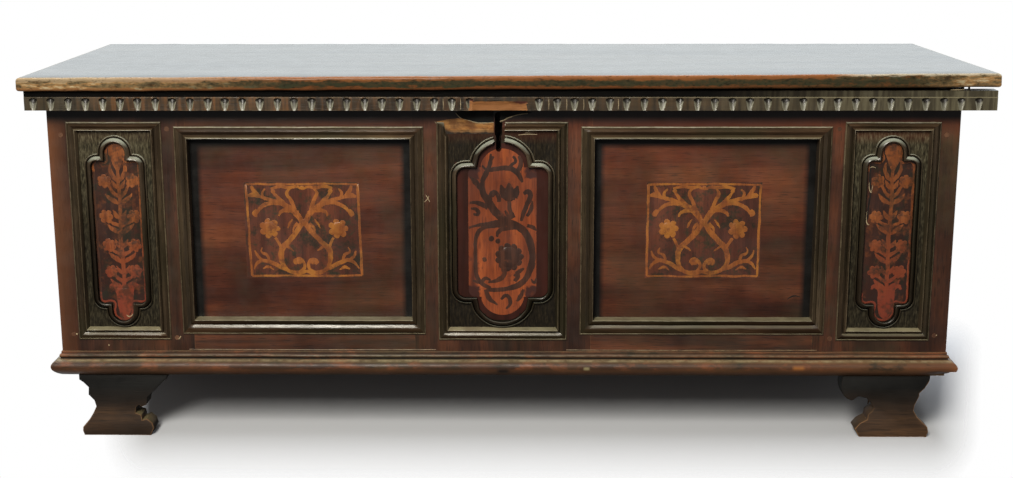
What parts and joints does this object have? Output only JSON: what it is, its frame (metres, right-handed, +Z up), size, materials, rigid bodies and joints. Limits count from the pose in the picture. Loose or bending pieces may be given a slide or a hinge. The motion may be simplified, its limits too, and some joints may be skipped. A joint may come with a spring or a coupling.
{
  "type": "cassone",
  "caption": "Low framed walnut chest on bracket feet, with sunk inlaid front panels between lobed pilasters, a moulded base, a hinged plank lid with a gouged strip, and an iron box lock.",
  "frame": {"origin": "on the floor, below the middle of the overall box, which is the middle of the lid", "axes": "+X to the right along the front as seen from in front, -Y out of the front, +Z up"},
  "size_m": [1.7, 0.607, 0.6693],
  "materials": {
    "walnut": "worn wax polish, satin",
    "dark_walnut": "dark polished",
    "inlay_wood": "polished, satin",
    "lid_walnut": "worn polish",
    "inner_wood": "unpolished",
    "iron": "dark, dull"
  },
  "bodies": {
    "carcass": {"front_stile_left": "walnut", "front_stile_centre": "walnut", "front_stile_right": "walnut", "front_top_rail_left": "walnut", "front_bottom_rail_left": "walnut", "front_panel_left": "walnut", "inlay_square_left": "inlay_wood", "panel_moulding_left": "dark_walnut", "front_top_rail_right": "walnut", "front_bottom_rail_right": "walnut", "front_panel_right": "walnut", "inlay_square_right": "inlay_wood", "panel_moulding_right": "dark_walnut", "pilaster_moulding_left": "dark_walnut", "cartouche_left": "dark_walnut", "inlay_cartouche_left": "inlay_wood", "pilaster_moulding_centre": "dark_walnut", "cartouche_centre": "dark_walnut", "inlay_cartouche_centre": "inlay_wood", "pilaster_moulding_right": "dark_walnut", "cartouche_right": "dark_walnut", "inlay_cartouche_right": "inlay_wood", "frame_pegs": "walnut", "side_stile_front_left": "walnut", "side_stile_rear_left": "walnut", "side_top_rail_left": "walnut", "side_bottom_rail_left": "walnut", "side_panel_left": "walnut", "side_stile_front_right": "walnut", "side_stile_rear_right": "walnut", "side_top_rail_right": "walnut", "side_bottom_rail_right": "walnut", "side_panel_right": "walnut", "back_board_upper": "inner_wood", "back_board_lower": "inner_wood", "floor_board_front": "inner_wood", "floor_board_rear": "inner_wood", "foot_blocks": "inner_wood", "base_moulding_front": "dark_walnut", "base_moulding_left": "dark_walnut", "base_moulding_right": "dark_walnut", "foot_front_left": "walnut", "foot_front_right": "walnut", "foot_rear_left": "walnut", "foot_rear_right": "walnut", "lock_plate": "iron", "lock_case": "iron", "lock_spring": "iron", "hinge_leaves": "iron", "hinge_pins": "iron"},
    "lid": {"lid_plank_front": "lid_walnut", "lid_plank_rear": "lid_walnut", "lid_strip_front": "dark_walnut", "lid_strip_left": "dark_walnut", "lid_strip_right": "dark_walnut", "lid_nails": "iron", "hinge_straps": "iron", "lock_staple": "iron"},
    "lock_bolt": {"lock_bolt": "iron"}
  },
  "joints": [
    {"name": "lid_hinge", "type": "hinge", "parent": "carcass", "child": "lid", "pos_m": [-0.009, 0.2868, 0.638], "axis": [-1, 0, 0], "range_deg": [0, 100]},
    {"name": "lock_bolt_slide", "type": "slide", "parent": "carcass", "child": "lock_bolt", "axis": [1, 0, 0], "range_m": [0, 0.014]}
  ]
}
